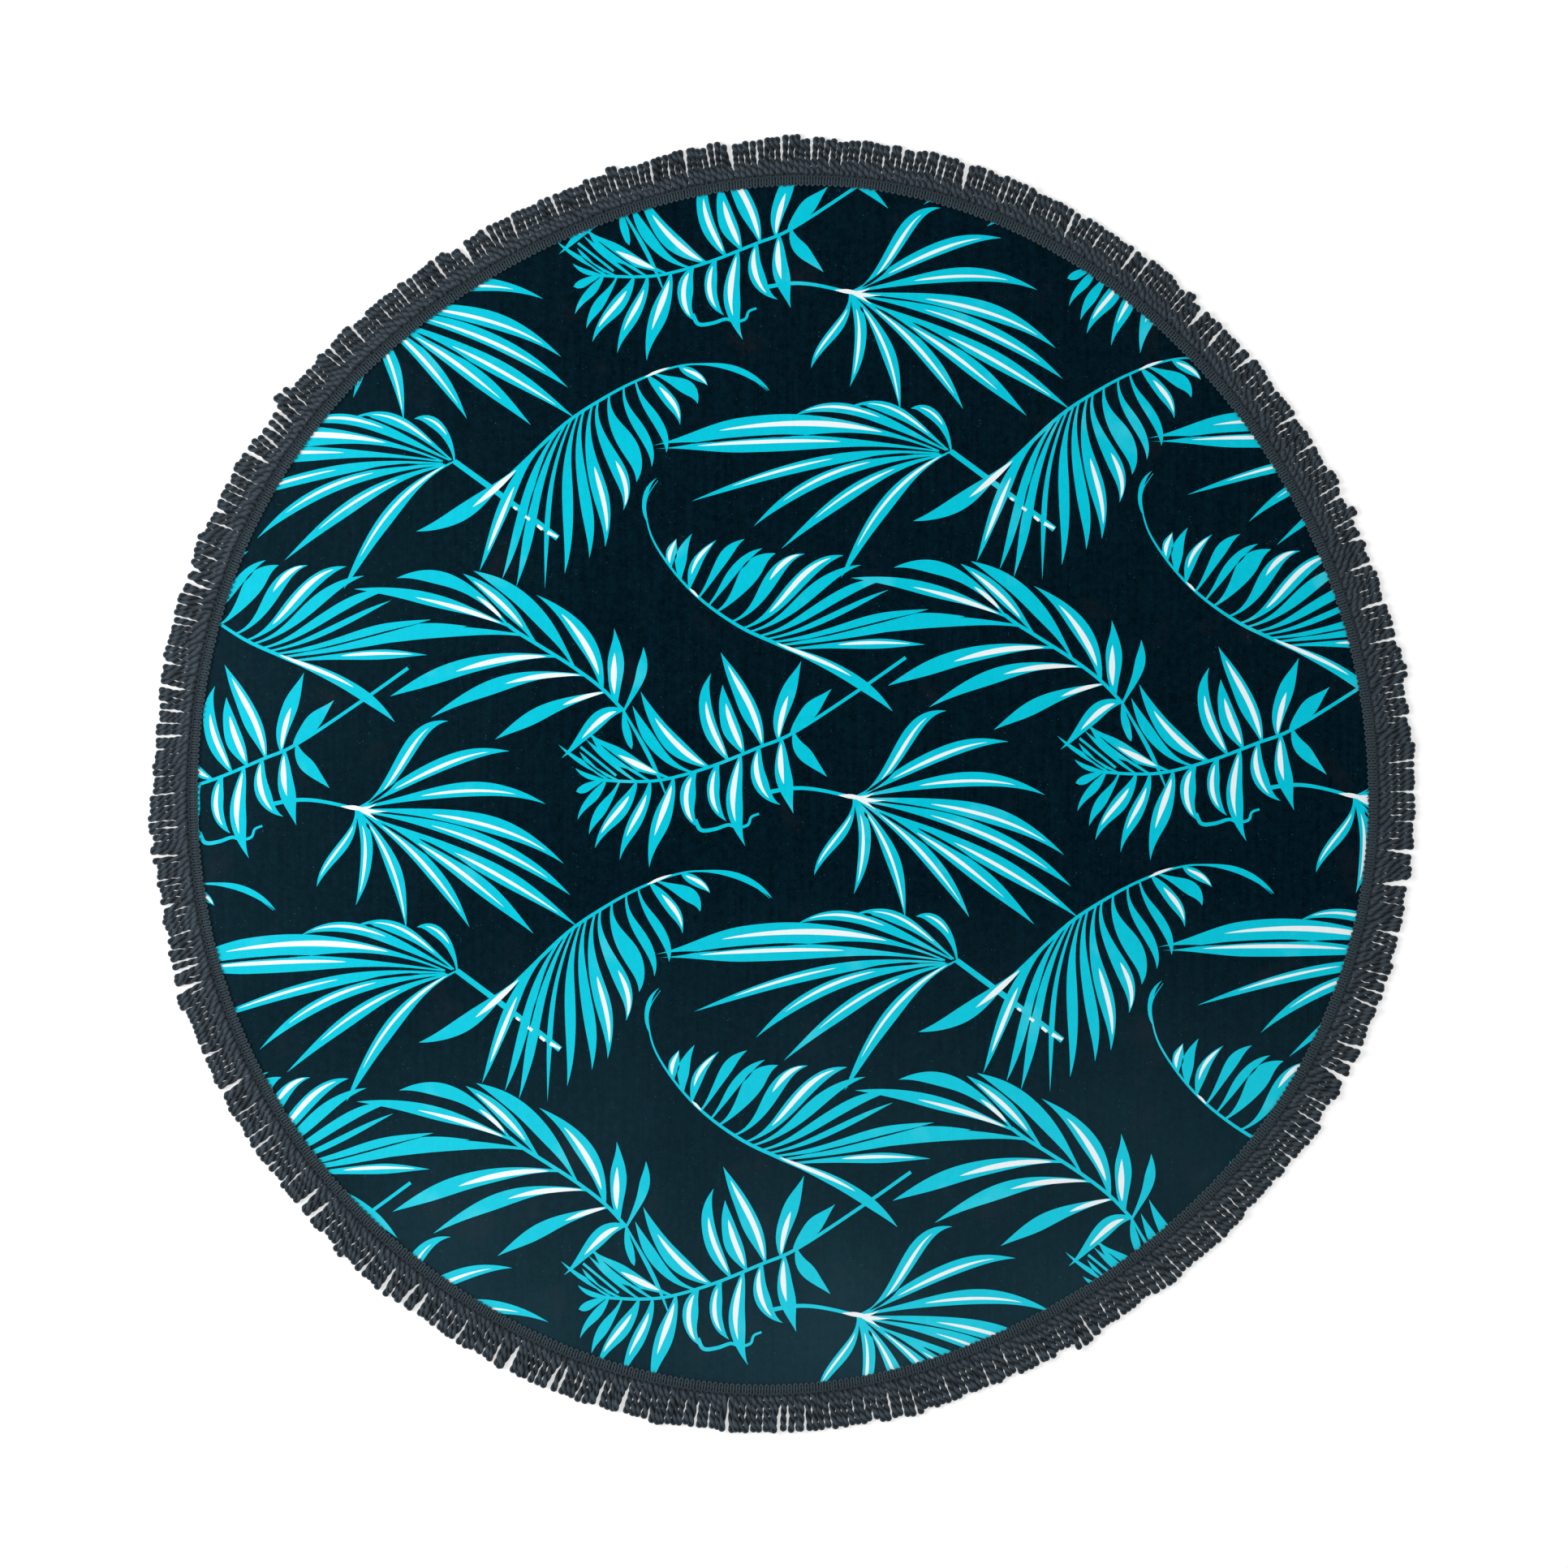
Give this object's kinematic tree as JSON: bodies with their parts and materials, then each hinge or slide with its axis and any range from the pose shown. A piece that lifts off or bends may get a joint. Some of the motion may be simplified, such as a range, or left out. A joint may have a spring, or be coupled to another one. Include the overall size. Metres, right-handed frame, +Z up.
{
  "type": "round beach towel",
  "caption": "Round beach towel laid out flat: printed velour disc with a sewn bullion fringe of twisted cords round its whole edge.",
  "frame": {"origin": "middle of the underside, on the surface that the towel lies on", "axes": "+Z up through the cloth, +Y towards the top of the picture and +X towards its right"},
  "size_m": [1.4873, 1.5242, 0.0065],
  "materials": {
    "printed_velour": "short cut velour, near-black navy ground with turquoise leaves and white streaks",
    "slate_cord": "matt dark slate twisted cotton cord"
  },
  "bodies": {
    "root": {"towel_cloth": "printed_velour", "fringe": "slate_cord"}
  },
  "joints": []
}
